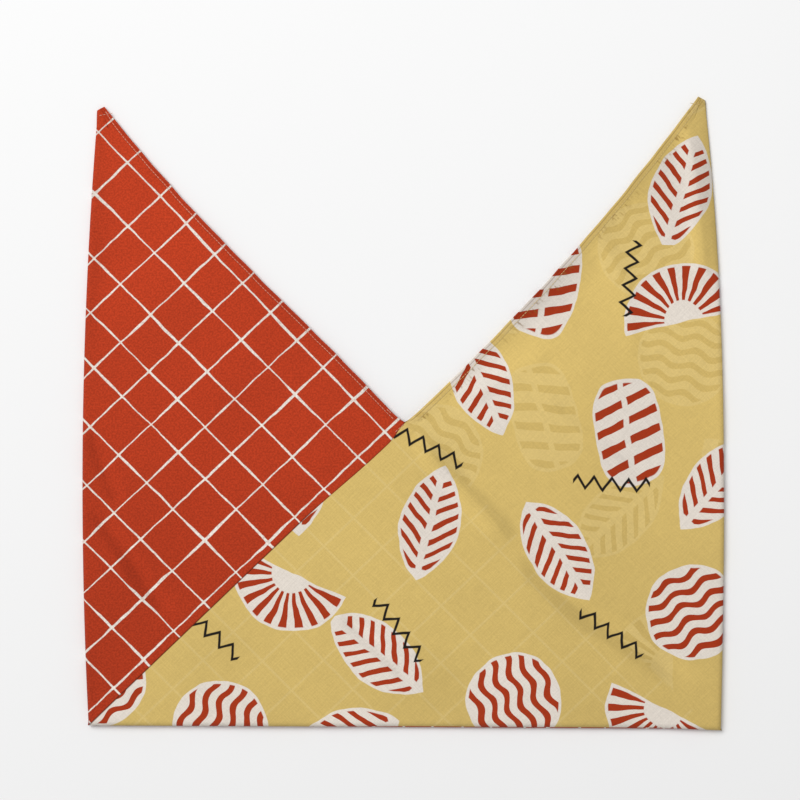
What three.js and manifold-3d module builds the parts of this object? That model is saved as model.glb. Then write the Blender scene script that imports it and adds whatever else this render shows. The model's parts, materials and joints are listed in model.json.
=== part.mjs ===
// An azuma bag laid flat: one long strip of cloth, red for one half and yellow for the other, folded on
// three diagonals into a square pouch with a V-shaped mouth. The two ears beside the mouth are the handles.
// Millimetres, +Z up. The bag lies on the plane z = 0 with the mouth towards +Y, and the origin is under
// the middle of the square.

import * as THREE from 'three';
import { mergeVertices } from 'three/addons/utils/BufferGeometryUtils.js';
import Module from 'manifold-3d';

const wasm = await Module();
wasm.setup();

// Cloth and pouch
const strip_width = 351;          // finished width of the strip, which is the leg of each folded triangle
const cloth_thickness = 0.5;
const pouch_height = 8.4;         // height over both layers, with the air that lies between them
const tip_height = 4.4;           // height over both layers at the end of an ear
const clearance = 0.3;            // gap between neighbouring pieces

// How the bag lies: the square is not quite true
const notch_drop = 7.6;           // the foot of the mouth lies this far below the middle of the square
const left_corner_rise = 3;       // the bottom left corner lies higher than the bottom right one
const left_side_bow = 10.6;       // how far the handles of the left fold's curve stand out
const right_low_bow = 8;          // the right fold bows out less near the bottom than near the ear
const right_high_bow = 14;
const left_tip_inset = 7;         // from the corner of the square to the end of the ear, inwards
const left_tip_drop = 10.5;       // and downwards
const right_tip_inset = 12.4;
const right_tip_drop = 2.7;
const left_foot_sag = 0.5;        // how far the handles of a hemmed edge's curve sag, at the foot of the mouth
const left_end_sag = 12;          // and towards the end of the ear
const right_foot_sag = 9.5;
const right_end_sag = 12;

// Hems, seams and the ends of the ears
const hem_width = 5;
const ply_gap = 0.1;              // air between the three plies of a hem
const seam_width = 9;             // width of the two seam allowances, felled to one side
const seam_end_margin = 22;       // where a felled seam stops short of its corner
const tip_width = 6;              // length of the blunt end of an ear
const tip_slant = 27;             // its slope, in degrees
const tip_band = 10;              // depth of the corner that is turned under

// The line that the ears fold on
const fold_rise = 8;              // height of the fold line above the foot of the mouth

// Fineness of the curves
const edge_steps = 8;
const round_steps = 5;

const half_side = strip_width * Math.SQRT1_2;
const round_radius = (pouch_height - clearance) / 2;
const middle_z = pouch_height / 2;
const ply_pitch = cloth_thickness + ply_gap;
const hem_height = cloth_thickness + 2 * ply_pitch;
const fold_y = fold_rise - notch_drop;
const far = 2 * strip_width;

const point = (x, y) => new THREE.Vector2(x, y);
const along = (from, direction, distance) => from.clone().addScaledVector(direction, distance);
const towards = (from, to) => to.clone().sub(from).normalize();
const leftOf = (direction) => point(-direction.y, direction.x);

const notch = point(0, -notch_drop);
const bottom_left = point(-half_side, left_corner_rise - half_side);
const bottom_right = point(half_side, -half_side);

// A curve that bows to the right of the straight line. Each of its two handles stands off that line by a length.
function bowed(from, to, first_bow, last_bow) {
  const right = leftOf(towards(from, to)).negate();
  const first = along(from.clone().lerp(to, 1 / 3), right, first_bow);
  const second = along(from.clone().lerp(to, 2 / 3), right, last_bow);
  return new THREE.CubicBezierCurve(from, first, second, to);
}

// An ear ends in a blunt edge, from its shoulder on the side fold to its tip at the end of the hem.
function makeEar(side, inset, drop, foot_sag, end_sag) {
  const angle = THREE.MathUtils.degToRad(tip_slant);
  const shoulder = point(side * (half_side - inset), half_side - drop);
  const blunt = point(-side * Math.cos(angle), Math.sin(angle));
  const tip = along(shoulder, blunt, tip_width);
  return { side, shoulder, blunt, tip, mouth: bowed(notch, tip, side * foot_sag, side * end_sag) };
}

const left_ear = makeEar(-1, left_tip_inset, left_tip_drop, left_foot_sag, left_end_sag);
const right_ear = makeEar(1, right_tip_inset, right_tip_drop, right_foot_sag, right_end_sag);

// A closed three.js geometry as a solid that can be cut and joined
function solid(geometry) {
  geometry.deleteAttribute('normal');
  geometry.deleteAttribute('uv');
  const merged = mergeVertices(geometry, 1e-4);
  return new wasm.Manifold(new wasm.Mesh({
    numProp: 3,
    vertProperties: new Float32Array(merged.attributes.position.array),
    triVerts: new Uint32Array(merged.index.array),
  }));
}

function prism(points, low, high) {
  const settings = { depth: high - low, bevelEnabled: false };
  return solid(new THREE.ExtrudeGeometry(new THREE.Shape(points), settings).translate(0, 0, low));
}

const tall = (points) => prism(points, -pouch_height, 2 * pouch_height);
const above = (y) => tall([point(-far, y), point(far, y), point(far, far), point(-far, far)]);
const below = (y) => tall([point(-far, -far), point(far, -far), point(far, y), point(-far, y)]);

// The whole bag in plan, with the mouth not yet cut
function bagOutline() {
  const right_fold = bowed(bottom_right, right_ear.shoulder, right_low_bow, right_high_bow);
  const left_fold = bowed(left_ear.shoulder, bottom_left, left_side_bow, left_side_bow);
  const [right_side, left_side] = [right_fold, left_fold].map((fold) => fold.getPoints(edge_steps));
  return new THREE.Shape([...right_side, right_ear.tip, left_ear.tip, ...left_side]);
}

// The bag as a flat pillow with round edges, taken in by an inset on every side
function pillow(inset) {
  const settings = {
    depth: clearance,
    bevelThickness: round_radius - inset,
    bevelSize: round_radius - inset,
    bevelOffset: -round_radius,
    bevelSegments: round_steps,
  };
  const geometry = new THREE.ExtrudeGeometry(bagOutline(), settings);
  return geometry.translate(0, 0, round_radius);
}

// Above the fold line the bag grows thinner, evenly, down to the end of the ear.
function heightAt(y, ear) {
  const share = (y - fold_y) / (ear.tip.y - fold_y);
  return pouch_height + (tip_height - pouch_height) * share;
}

function flattened(geometry, inset, ear) {
  const places = geometry.attributes.position;
  for (let i = 0; i < places.count; i += 1) {
    const ratio = (heightAt(places.getY(i), ear) - 2 * inset) / (pouch_height - 2 * inset);
    places.setZ(i, inset + (places.getZ(i) - inset) * ratio);
  }
  return geometry;
}

function pouchShell() {
  return solid(pillow(0)).subtract(solid(pillow(cloth_thickness)));
}

function earShell(ear, wall) {
  const outside = solid(flattened(pillow(0), 0, ear));
  return outside.subtract(solid(flattened(pillow(wall), wall, ear)));
}

// The V of the mouth, widened into the cloth by an offset
function mouthEdge(ear, offset) {
  const steps = Array.from({ length: edge_steps }, (unused, i) => (i + 1) / edge_steps);
  const outward = (t) => leftOf(ear.mouth.getTangent(t)).multiplyScalar(-ear.side);
  const points = steps.map((t) => along(ear.mouth.getPoint(t), outward(t), offset));
  points.push(along(points.at(-1), ear.mouth.getTangent(1), far / 8));
  return points;
}

function mouthVoid(offset) {
  const sides = [left_ear, right_ear].map((ear) => leftOf(ear.mouth.getTangent(0)).multiplyScalar(-ear.side));
  const spread = sides[0].clone().add(sides[1]).divideScalar(1 + sides[0].dot(sides[1]));
  const foot = along(notch, spread, offset);
  return tall([...mouthEdge(left_ear, offset).reverse(), foot, ...mouthEdge(right_ear, offset)]);
}

// Half of the plan, on the far side of a line from its left
function beyond(from, direction) {
  const start = along(from, direction, -far);
  const end = along(from, direction, far);
  const aside = leftOf(direction);
  return [start, end, along(end, aside, far), along(start, aside, far)];
}

// The seams run from the foot of the mouth to the two bottom corners: the front one to the left and the
// back one to the right. Along the bottom edge the yellow front meets the red back.
const front_seam_way = towards(notch, bottom_left);
const back_seam_way = towards(notch, bottom_right);

function slit(way, low, high) {
  const half = leftOf(way).multiplyScalar(clearance / 2);
  const end = along(notch, way, far);
  const corners = [[notch, 1], [notch, -1], [end, -1], [end, 1]];
  return prism(corners.map(([place, sign]) => along(place, half, sign)), low, high);
}

function openSeams(shell) {
  const low = middle_z - clearance / 2;
  const high = middle_z + clearance / 2;
  const front = slit(front_seam_way, low, 2 * pouch_height);
  const back = slit(back_seam_way, -pouch_height, high);
  const corners = [along(notch, front_seam_way, far), along(notch, back_seam_way, far), notch];
  return shell.subtract(front).subtract(back).subtract(prism(corners, low, high));
}

// The plan on one side of a seam, which above the foot of the mouth is that whole side of the bag
function sideOfSeam(way, side, low, high) {
  const end = along(notch, way, far);
  const outline = [end, notch, point(notch.x, far), point(side * far, far), point(side * far, -far)];
  if (Math.sign(way.x) !== side) outline.push(point(Math.sign(way.x) * far, -far));
  return prism(outline, low, high);
}

function clothRegion(side) {
  const overlap = clearance / 2;
  const front = sideOfSeam(front_seam_way, side, middle_z - (side < 0 ? overlap : 0), 2 * pouch_height);
  const back = sideOfSeam(back_seam_way, side, -pouch_height, middle_z + (side > 0 ? overlap : 0));
  return front.add(back);
}

function pouchCloth(side) {
  const shell = openSeams(pouchShell()).intersect(below(fold_y - clearance / 2));
  return shell.intersect(clothRegion(side)).subtract(mouthVoid(hem_width + clearance));
}

// The corner of the strip is turned under at the end of the ear.
function tipRegion(ear, depth) {
  const inwards = leftOf(ear.blunt).multiplyScalar(ear.side);
  const from = along(ear.shoulder, inwards, depth);
  return tall(beyond(from, ear.blunt.clone().multiplyScalar(-ear.side)));
}

function sideRegion(ear) {
  const edge = ear.side * far;
  return tall([point(0, -far), point(edge, -far), point(edge, far), point(0, far)]);
}

function earPart(ear, body) {
  return body.intersect(sideRegion(ear)).intersect(above(fold_y + clearance / 2));
}

function earCloth(ear) {
  const cloth = earPart(ear, earShell(ear, cloth_thickness)).subtract(mouthVoid(hem_width + clearance));
  return cloth.subtract(tipRegion(ear, tip_band + clearance));
}

function earTip(ear) {
  const folded = earPart(ear, earShell(ear, hem_height)).subtract(mouthVoid(0));
  return folded.intersect(tipRegion(ear, tip_band));
}

// A strip of cloth in section, as a line with a thickness
function ribbon(line) {
  const half = cloth_thickness / 2;
  const ends = line.map((place, i) => [line[Math.max(i - 1, 0)], line[Math.min(i + 1, line.length - 1)]]);
  const normals = ends.map(([from, to]) => leftOf(towards(from, to)));
  const one = line.map((place, i) => along(place, normals[i], half));
  const other = line.map((place, i) => along(place, normals[i], -half));
  return [...one, ...other.reverse()];
}

function turn(x, y, radius, from, to) {
  return new THREE.EllipseCurve(x, y, radius, radius, from, to, to < from).getPoints(round_steps);
}

// A hem in section: x is the depth below the face of the cloth, y the distance in from the edge. The cloth
// turns down at the edge, comes back, and ends with its raw edge between the other two plies.
function hemSection() {
  const face = cloth_thickness / 2;
  const edge = face + ply_pitch;
  const inner = hem_width - face - ply_pitch / 2;
  const outer_turn = turn(face + ply_pitch, edge, ply_pitch, Math.PI, 2 * Math.PI);
  const inner_turn = turn(face + 1.5 * ply_pitch, inner, ply_pitch / 2, 0, Math.PI);
  const start = point(face, hem_width);
  const finish = point(face + ply_pitch, edge + ply_pitch);
  return ribbon([start, ...outer_turn, ...inner_turn, finish]);
}

// One hem of an ear, along the front or the back of the mouth
function earHem(ear, front) {
  const steps = Array.from({ length: edge_steps + 1 }, (unused, i) => i / edge_steps);
  const places = steps.map((t) => ear.mouth.getPoint(t));
  places.unshift(along(places[0], ear.mouth.getTangent(0), -hem_width));
  const path = places.map(({ x, y }) => new THREE.Vector3(x, y, front ? heightAt(y, ear) : 0));
  const section = hemSection().map(({ x, y }) => point(front ? x : -x, -ear.side * y));
  const settings = { steps: edge_steps, bevelEnabled: false, extrudePath: new THREE.CatmullRomCurve3(path) };
  const hem = solid(new THREE.ExtrudeGeometry(new THREE.Shape(section), settings));
  return hem.intersect(above(fold_y + clearance / 2)).subtract(tipRegion(ear, tip_band + clearance));
}

// Where the two hems meet at the foot of the mouth they are lapped and sewn down flat.
function notchLap(low) {
  const plate = prism([point(-far, -far), point(far, -far), point(far, far), point(-far, far)], low, low + hem_height);
  return plate.intersect(mouthVoid(hem_width)).subtract(mouthVoid(0)).intersect(below(fold_y - clearance / 2));
}

// A felled seam inside the pouch: both allowances lie on one side under a row of stitches.
function felledSeam(way, side, reach, low) {
  const aside = leftOf(way).multiplyScalar(side * seam_width);
  const start = along(notch, way, hem_width * 2 + clearance);
  const end = along(notch, way, reach - seam_end_margin);
  return prism([start, end, end.clone().add(aside), start.clone().add(aside)], low, low + 2 * ply_pitch);
}

// The allowances of the bottom seam stand inwards from the middle of the round bottom edge.
function bottomSeam() {
  const way = towards(bottom_left, bottom_right);
  const inwards = leftOf(way);
  const base = along(bottom_left, inwards, cloth_thickness + clearance);
  const start = along(base, way, seam_end_margin);
  const end = along(base, way, bottom_left.distanceTo(bottom_right) - seam_end_margin);
  const outline = [start, end, along(end, inwards, seam_width), along(start, inwards, seam_width)];
  return prism(outline, middle_z - ply_pitch, middle_z + ply_pitch);
}

const bag = new THREE.Group();

function addPart(name, color, body) {
  const faces = body.getMesh();
  const geometry = new THREE.BufferGeometry();
  geometry.setAttribute('position', new THREE.BufferAttribute(faces.vertProperties, 3));
  geometry.setIndex(new THREE.BufferAttribute(faces.triVerts, 1));
  geometry.computeVertexNormals();
  const mesh = new THREE.Mesh(geometry, new THREE.MeshStandardMaterial({ color, roughness: 0.9, metalness: 0 }));
  mesh.name = name;
  bag.add(mesh);
}

const red = 0xb84026;
const yellow = 0xd6ba70;
const below_face = pouch_height - cloth_thickness - clearance - 2 * ply_pitch;
const above_back = cloth_thickness + clearance;

addPart('red_cloth', red, pouchCloth(-1));
addPart('yellow_cloth', yellow, pouchCloth(1));
addPart('front_seam', yellow, felledSeam(front_seam_way, 1, notch.distanceTo(bottom_left), below_face));
addPart('back_seam', red, felledSeam(back_seam_way, -1, notch.distanceTo(bottom_right), above_back));
addPart('bottom_seam', red, bottomSeam());
addPart('front_notch_lap', red, notchLap(pouch_height - hem_height));
addPart('back_notch_lap', yellow, notchLap(0));

for (const [word, ear, color] of [['left', left_ear, red], ['right', right_ear, yellow]]) {
  addPart(`${word}_ear_cloth`, color, earCloth(ear));
  addPart(`${word}_ear_front_hem`, color, earHem(ear, true));
  addPart(`${word}_ear_back_hem`, color, earHem(ear, false));
  addPart(`${word}_ear_tip`, color, earTip(ear));
}

export default bag;
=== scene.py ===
import json
from math import cos, pi, radians, sin, sqrt
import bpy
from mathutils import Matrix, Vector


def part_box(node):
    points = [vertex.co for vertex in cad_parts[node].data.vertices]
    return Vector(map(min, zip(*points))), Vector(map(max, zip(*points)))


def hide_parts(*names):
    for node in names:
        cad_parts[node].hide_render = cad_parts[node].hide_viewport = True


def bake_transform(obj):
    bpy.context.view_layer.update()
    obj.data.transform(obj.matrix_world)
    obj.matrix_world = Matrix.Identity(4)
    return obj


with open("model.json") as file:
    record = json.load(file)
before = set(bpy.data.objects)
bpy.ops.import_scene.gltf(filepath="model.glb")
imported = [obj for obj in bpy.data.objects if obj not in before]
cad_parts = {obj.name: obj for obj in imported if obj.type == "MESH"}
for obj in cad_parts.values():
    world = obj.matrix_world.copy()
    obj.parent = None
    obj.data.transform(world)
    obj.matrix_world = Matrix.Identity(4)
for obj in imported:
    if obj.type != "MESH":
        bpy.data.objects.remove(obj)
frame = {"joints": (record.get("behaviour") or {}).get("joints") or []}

from types import SimpleNamespace

import bpy
import numpy as np
from mathutils import Vector

bl_info = {
    "name": "Azuma Bag",
    "version": (1, 0, 0),
    "blender": (4, 5, 0),
    "location": "View3D > Sidebar > Azuma Bag",
    "description": "An azuma bag of red grid cloth and yellow printed cloth, laid flat",
    "category": "Add Mesh",
}

MM = 0.001
LEFT, RIGHT = -1, 1

# What the frame says about the bag
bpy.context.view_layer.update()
PANEL_LOW, PANEL_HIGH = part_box("yellow_cloth")
HALF_SIDE = -float(PANEL_LOW[1])
POUCH_HEIGHT = float(PANEL_HIGH[2])
FOLD_JOINT = next(joint for joint in frame["joints"] if joint["name"] == "left_ear_fold")
FOLD_Y = FOLD_JOINT["pos_m"][1]

# How the square lies, as in the solids: the foot of the mouth, the bottom edge, how far the sides
# bow out, where each ear ends, how far the mouth sags, and the ears' blunt ends
NOTCH = np.array([0.0, FOLD_Y - 8 * MM])
LEFT_CORNER_RISE = 3 * MM
SIDE_BOW = {LEFT: (10.6 * MM, 10.6 * MM), RIGHT: (8 * MM, 14 * MM)}
TIP_INSET = {LEFT: 7 * MM, RIGHT: 12.4 * MM}
TIP_DROP = {LEFT: 10.5 * MM, RIGHT: 2.7 * MM}
MOUTH_SAG = {LEFT: (1.5 * MM, 12 * MM), RIGHT: (12.5 * MM, 12 * MM)}
TIP_WIDTH = 6 * MM
TIP_SLANT = radians(27)
TIP_HEIGHT = 4.4 * MM


class AzumaClothSettings(bpy.types.PropertyGroup):
    """Sizes of the cloth, its hems and its stitches"""

    thickness: bpy.props.FloatProperty(
        name="Cloth Thickness", description="Thickness of one layer of cotton",
        default=0.45 * MM, unit="LENGTH")
    hem_width: bpy.props.FloatProperty(
        name="Hem Width", description="Width of the double hem round the mouth",
        default=4.7 * MM, unit="LENGTH")
    hem_rise: bpy.props.FloatProperty(
        name="Hem Rise", description="How far the hem stands out over the cloth",
        default=0.45 * MM, unit="LENGTH")
    pucker: bpy.props.FloatProperty(
        name="Pucker", description="Height of the puckers along the stitches",
        default=0.30 * MM, unit="LENGTH")
    stitch_pitch: bpy.props.FloatProperty(
        name="Stitch Pitch", description="Distance from one stitch to the next",
        default=2.6 * MM, unit="LENGTH")
    stitch_width: bpy.props.FloatProperty(
        name="Stitch Width", description="Thickness of the sewing thread",
        default=0.50 * MM, unit="LENGTH")


class AzumaColourSettings(bpy.types.PropertyGroup):
    """Colours of the two cloths and of what is printed on them"""

    red: bpy.props.FloatVectorProperty(
        name="Brick Red", description="Ground of the grid cloth", subtype="COLOR",
        default=(0.553, 0.0515, 0.0140))
    yellow: bpy.props.FloatVectorProperty(
        name="Straw Yellow", description="Ground of the printed cloth", subtype="COLOR",
        default=(0.752, 0.545, 0.176))
    grid_white: bpy.props.FloatVectorProperty(
        name="Grid White", description="Lines of the hand-drawn grid", subtype="COLOR",
        default=(0.97, 0.92, 0.83))
    cream: bpy.props.FloatVectorProperty(
        name="Off-White", description="Pale parts of the print", subtype="COLOR",
        default=(0.83, 0.755, 0.67))
    black: bpy.props.FloatVectorProperty(
        name="Black", description="Zigzag lines of the print", subtype="COLOR",
        default=(0.012, 0.010, 0.009))
    print_red: bpy.props.FloatVectorProperty(
        name="Print Red", description="Red parts of the print", subtype="COLOR",
        default=(0.412, 0.041, 0.009))


class AzumaPrintSettings(bpy.types.PropertyGroup):
    """Scale of the grid and of the print"""

    grid_pitch: bpy.props.FloatProperty(
        name="Grid Pitch", description="Distance between the lines of the grid",
        default=32.4 * MM, unit="LENGTH")
    grid_line: bpy.props.FloatProperty(
        name="Grid Line", description="Mean width of a line of the grid",
        default=1.24 * MM, unit="LENGTH")
    motif_pitch: bpy.props.FloatProperty(
        name="Motif Pitch", description="Distance from one printed motif to the next",
        default=104 * MM, unit="LENGTH")


class AzumaStageSettings(bpy.types.PropertyGroup):
    """Camera, floor and lamps"""

    lens: bpy.props.FloatProperty(
        name="Lens", description="Focal length of the camera in millimetres", default=100.0)
    picture_width: bpy.props.FloatProperty(
        name="Picture Width", description="Width of the floor that the picture takes in",
        default=0.628, unit="LENGTH")
    floor: bpy.props.FloatVectorProperty(
        name="Floor", description="Colour of the floor", subtype="COLOR",
        default=(0.908, 0.908, 0.908))
    lamp_power: bpy.props.FloatProperty(
        name="Lamp Power", description="Power of the large soft lamp", default=141.0)
    sky: bpy.props.FloatProperty(
        name="Sky", description="Strength of the even light from all sides", default=0.38)


# Curves that the shapes are made with
def smooth(share):
    share = np.clip(share, 0, 1)
    return share * share * (3 - 2 * share)


def rising(value, low, high):
    """Nothing up to low, one from high on, and a soft change between them."""
    return smooth((value - low) / (high - low))


def falling(value, low, high):
    return 1 - rising(value, low, high)


def bump(value, centre, width):
    return np.exp(-((value - centre) / width) ** 2)


def ripple(along, *lengths):
    """Uneven waves of the given lengths, the same on each run."""
    total = np.zeros_like(along)
    for index, length in enumerate(lengths):
        total += np.sin(2 * pi * along / length + 1.7 * index * index + 0.6)
    return total / len(lengths)


# Plan of the bag
def unit(vector):
    return vector / np.linalg.norm(vector)


def corner(side):
    """Bottom corner of the square."""
    rise = LEFT_CORNER_RISE if side == LEFT else 0
    return np.array([side * HALF_SIDE, rise - HALF_SIDE])


def shoulder(side):
    """Upper end of a side edge, where the blunt end of the ear begins."""
    return np.array([side * (HALF_SIDE - TIP_INSET[side]), HALF_SIDE - TIP_DROP[side]])


def tip(side):
    """Other end of the blunt end, where the mouth begins."""
    return shoulder(side) + np.array([-side * cos(TIP_SLANT), sin(TIP_SLANT)]) * TIP_WIDTH


def bowed(start, end, side, bows, t):
    """Points of a curve whose two handles stand off its chord, to the right of it on side 1."""
    t = np.asarray(t, float)[..., None]
    direction = unit(end - start)
    aside = -side * np.array([-direction[1], direction[0]])
    first, second = bows
    bow = 3 * t * (1 - t) * ((1 - t) * first + t * second)
    return (1 - t) * start + t * end + bow * aside


def fold_edge(side, t):
    return bowed(corner(side), shoulder(side), side, SIDE_BOW[side], t)


def mouth_edge(side, t):
    return bowed(NOTCH, tip(side), side, MOUTH_SAG[side], t)


def seam_edge(side, t):
    t = np.asarray(t, float)[..., None]
    return (1 - t) * corner(side) + t * NOTCH


OVERLAP = 3.2 * MM
OVERLAP_GROWS = (0, 20 * MM)
OVERLAP_FADES = (26 * MM, 116 * MM)


def seam_overlap(points):
    """The folded edge of the upper cloth, which runs out over the seam below the notch."""
    from_notch = np.linalg.norm(points - NOTCH, axis=1)
    reach = OVERLAP * rising(from_notch, *OVERLAP_GROWS) * falling(from_notch, *OVERLAP_FADES)
    return points + reach[:, None] * unit(np.array([1, -1]))


def corner_level(x):
    """The bag's bottom edge, a straight line between its two corners."""
    share = (x - corner(LEFT)[0]) / (corner(RIGHT)[0] - corner(LEFT)[0])
    return (1 - share) * corner(LEFT)[1] + share * corner(RIGHT)[1]


# How far the yellow cloth ends above the bottom edge: places across the bag, and the rise there
YELLOW_RISE_AT = np.array([-248, -70, 0, 195, 212, 250]) * MM
YELLOW_RISE = np.array([-0.3, -0.1, 0.6, 0.6, 0, -1.2]) * MM
RISE_REACH = 40 * MM


def bottom_rise(side, x):
    """How far a cloth's lower end lies above the bag's bottom edge."""
    return np.interp(x, YELLOW_RISE_AT, YELLOW_RISE) * (side == RIGHT)


def lifted(side, points, levels):
    """Points of the rows near the bottom edge, moved by the rise of the cloth's lower end."""
    share = np.clip(1 - (levels + HALF_SIDE) / RISE_REACH, 0, 1)
    rise = bottom_rise(side, points[:, 0]) * share
    return points + np.stack([np.zeros_like(rise), rise], axis=1)


def side_line(side, y):
    """x of the folded side edge at each y."""
    points = fold_edge(side, np.linspace(0, 1, 200))
    return np.interp(y, points[:, 1], points[:, 0])


# Folds and waves over the plan
FAR = 1.0
WAVE_HEIGHT = 1.0 * MM
BACK_WAVE_SHARE = 0.3
FOLD_FADE = 0.22
FOLD_SHADE = 1.5

# Slow waves of the cloth: the way that each runs in x and y, its length in metres and its phase
SLOW_WAVES = (
    (0.83, 0.56, 0.118, 1.1),
    (0.35, -0.94, 0.083, 0.4),
    (0.97, -0.22, 0.171, 2.2),
)

# Folds of the front, all in millimetres: half width, height and the points that each runs through
CREASES = (
    (8, 2.4, ((4, -17), (30, -46), (70, -88), (88, -106))),
    (9, -3.4, ((88, -102), (106, -127), (141, -156), (185, -185), (221, -207), (232, -219))),
    (5, -1.4, ((-51, -156), (-12, -193), (10, -213))),
    (6, -1.0, ((-245, -8), (-241, -26), (-228, -61), (-221, -78))),
    (7, -1.9, ((-247, -72), (-231, -92), (-216, -112), (-204, -133), (-191, -149), (-180, -166))),
    (8, 1.6, ((222, 240), (228, 183), (232, 136), (235, 92))),
    (8, 1.1, ((40, 5), (80, 30), (120, 50))),
    (7, -1.1, ((110, 16), (150, -12), (196, -52))),
    (9, 0.6, ((150, 150), (172, 96), (180, 30))),
)


def wide_waves(x, y):
    """Soft unevenness of cotton that was ironed and then folded, up to about one."""
    first, second, third = [
        np.sin(2 * pi * (x * right + y * up) / length + phase)
        for right, up, length, phase in SLOW_WAVES]
    return 0.45 * first * second + 0.35 * third + 0.2 * second


def from_line(x, y, points):
    """Distance to a run of points, and the share of the run at which its nearest place lies."""
    nearest = np.full_like(x, FAR)
    along = np.zeros_like(x)
    total = 0
    for start, end in zip(points, points[1:]):
        length = np.linalg.norm(end - start)
        direction = (end - start) / length
        reach = (x - start[0]) * direction[0] + (y - start[1]) * direction[1]
        reach = np.clip(reach, 0, length)
        away = np.hypot(x - start[0] - reach * direction[0], y - start[1] - reach * direction[1])
        along = np.where(away < nearest, total + reach, along)
        nearest = np.minimum(away, nearest)
        total += length
    return nearest, along / total


def fold_line(x, y, points, width):
    """A rounded fold along a run of points, which fades out at both ends."""
    nearest, share = from_line(x, y, np.array(points) * MM)
    return bump(nearest, 0, width * MM) * rising(np.minimum(share, 1 - share), 0, FOLD_FADE)


def relief(x, y, front):
    """Height of the folds and waves over the even cloth."""
    height = WAVE_HEIGHT * wide_waves(x, y)
    if not front:
        return BACK_WAVE_SHARE * np.abs(height)
    for width, rise, points in CREASES:
        height = height + rise * MM * fold_line(x, y, points, width)
    return height


def fold_slope(x, y):
    """How steeply the front rises to the right, made stronger for the shade on its folds."""
    step = 2 * MM
    return FOLD_SHADE * (relief(x + step, y, True) - relief(x - step, y, True)) / (2 * step)


MOUTH_REACH = 42 * MM
MOUTH_CLOSING = 0.5
CLOSED_HEIGHT = 3.2 * MM


def near_mouth(x, y, reach=MOUTH_REACH):
    """Share that grows from nothing inside the cloth to one at the edge of the mouth."""
    span = np.linspace(0, 1, 20)
    run = np.concatenate([mouth_edge(LEFT, span[::-1]), mouth_edge(RIGHT, span[1:])])
    nearest, _ = from_line(x, y, run)
    return falling(nearest, 0, reach)


def edge_shade(x, y):
    """Shade along the rolled sides and the mouth, told as a slope away from the light."""
    from_left = x - side_line(LEFT, y)
    from_right = side_line(RIGHT, y) - x
    upper_left = rising(y, 30 * MM, 80 * MM) * falling(y, 170 * MM, 210 * MM)
    return sum((
        0.13 * falling(from_left, 0, 15 * MM),
        0.13 * falling(from_left, 0, 45 * MM) * upper_left,
        0.20 * falling(from_right, 0, 9 * MM) * rising(y, 90 * MM, 140 * MM),
        0.10 * near_mouth(x, y),
        0.15 * near_mouth(x, y, 70 * MM) * rising(y, 50 * MM, 110 * MM) * (x > 0),
    ))


# Height of the two layers
EDGE_BEND = 4.05 * MM
RIGHT_ROLL = 8 * MM
ROLL_GROWS = (110 * MM, 200 * MM)


def quarter(distance, bend=EDGE_BEND):
    """Height of a rounded edge as a share of the full one."""
    inner = 1 - np.clip(distance / bend, 0, 1)
    return np.sqrt(np.clip(1 - inner * inner, 0, 1))


def top_height(y):
    """Height of the bag's upper surface, which falls towards the tips of the ears."""
    share = np.clip((y - FOLD_Y) / (tip(LEFT)[1] - FOLD_Y), 0, 1)
    return POUCH_HEIGHT - (POUCH_HEIGHT - TIP_HEIGHT) * share


def mouth_fall(x, y):
    """How far the front sinks towards the hem of the mouth, where the two layers nearly meet."""
    return MOUTH_CLOSING * (top_height(y) - CLOSED_HEIGHT) * near_mouth(x, y)


def cloth_height(x, y, side, front, settings):
    """Height of the middle of the front or the back layer."""
    half = settings.thickness / 2
    top = top_height(y) - half
    middle = (top + half) / 2
    right_bend = EDGE_BEND + RIGHT_ROLL * rising(y, *ROLL_GROWS)
    edges = quarter(x - side_line(LEFT, y)) * quarter(side_line(RIGHT, y) - x, right_bend)
    edges = edges * quarter(y - corner_level(x) - bottom_rise(side, x))
    lift = (top - middle) * edges
    waves = relief(x, y, front) * smooth(edges)
    if front:
        return middle + lift + waves - mouth_fall(x, y) * edges
    return middle - lift + waves


# Section of a hem or seam: share of its width, then distance in from its edge and drop under the
# face, both in plies
HEM_SECTION = (
    (0, 1.1, 1.12),
    (1, -0.5, 1.12),
    (1, -0.1, 1.40),
    (1, -0.5, 1.68),
    (0.5, 0, 1.70),
    (0, 1.1, 1.68),
    (0, 0.35, 1.45),
    (0, 0, 0.84),
    (0, 0.35, 0.24),
)
PLY = 0.67 * MM
STITCH_INSET = 1.6 * MM
RIGHT_HEM_EXTRA = 1.3 * MM
SEAM_HEM = 8 * MM
CREASE_LINE = 1.6 * MM

# Columns beside the open edge, columns and rows of the rounded edges, and how many lie between
FACE_STEPS = [0.8, 1.25, 1.6, 2, 2.7, 3.1, 3.5, 4.3, 5.2, 6.4, 8.2, 10.2, 12.6, 15.6]
FACE_STEPS = np.array(FACE_STEPS) * MM
ROUND_STEPS = EDGE_BEND * (1 - np.cos(np.radians([0, 14, 28, 42, 58, 74, 90])))
FACE_COLUMNS = {(LEFT, True): 84, (LEFT, False): 60, (RIGHT, True): 118, (RIGHT, False): 34}
ROWS_BELOW_NOTCH = 84
ROWS_ABOVE_NOTCH = 132
CORNER_GAP = 3.5 * MM
FLOOR_GAP = 0.03 * MM

# Lengths of row under which the hem, the cloth beside it and the rounded fold get narrower
HEM_NARROWS = 18 * MM
FACE_NARROWS = 34 * MM
FOLD_NARROWS = 13 * MM
LEAST_SCALE = 0.04
LEAST_SINE = 0.35


def hem_of(side, settings):
    """Width of an ear's hem, and how far in from the edge its stitches run."""
    width = settings.hem_width + (RIGHT_HEM_EXTRA if side == RIGHT else 0)
    return width, width - STITCH_INSET


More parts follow.
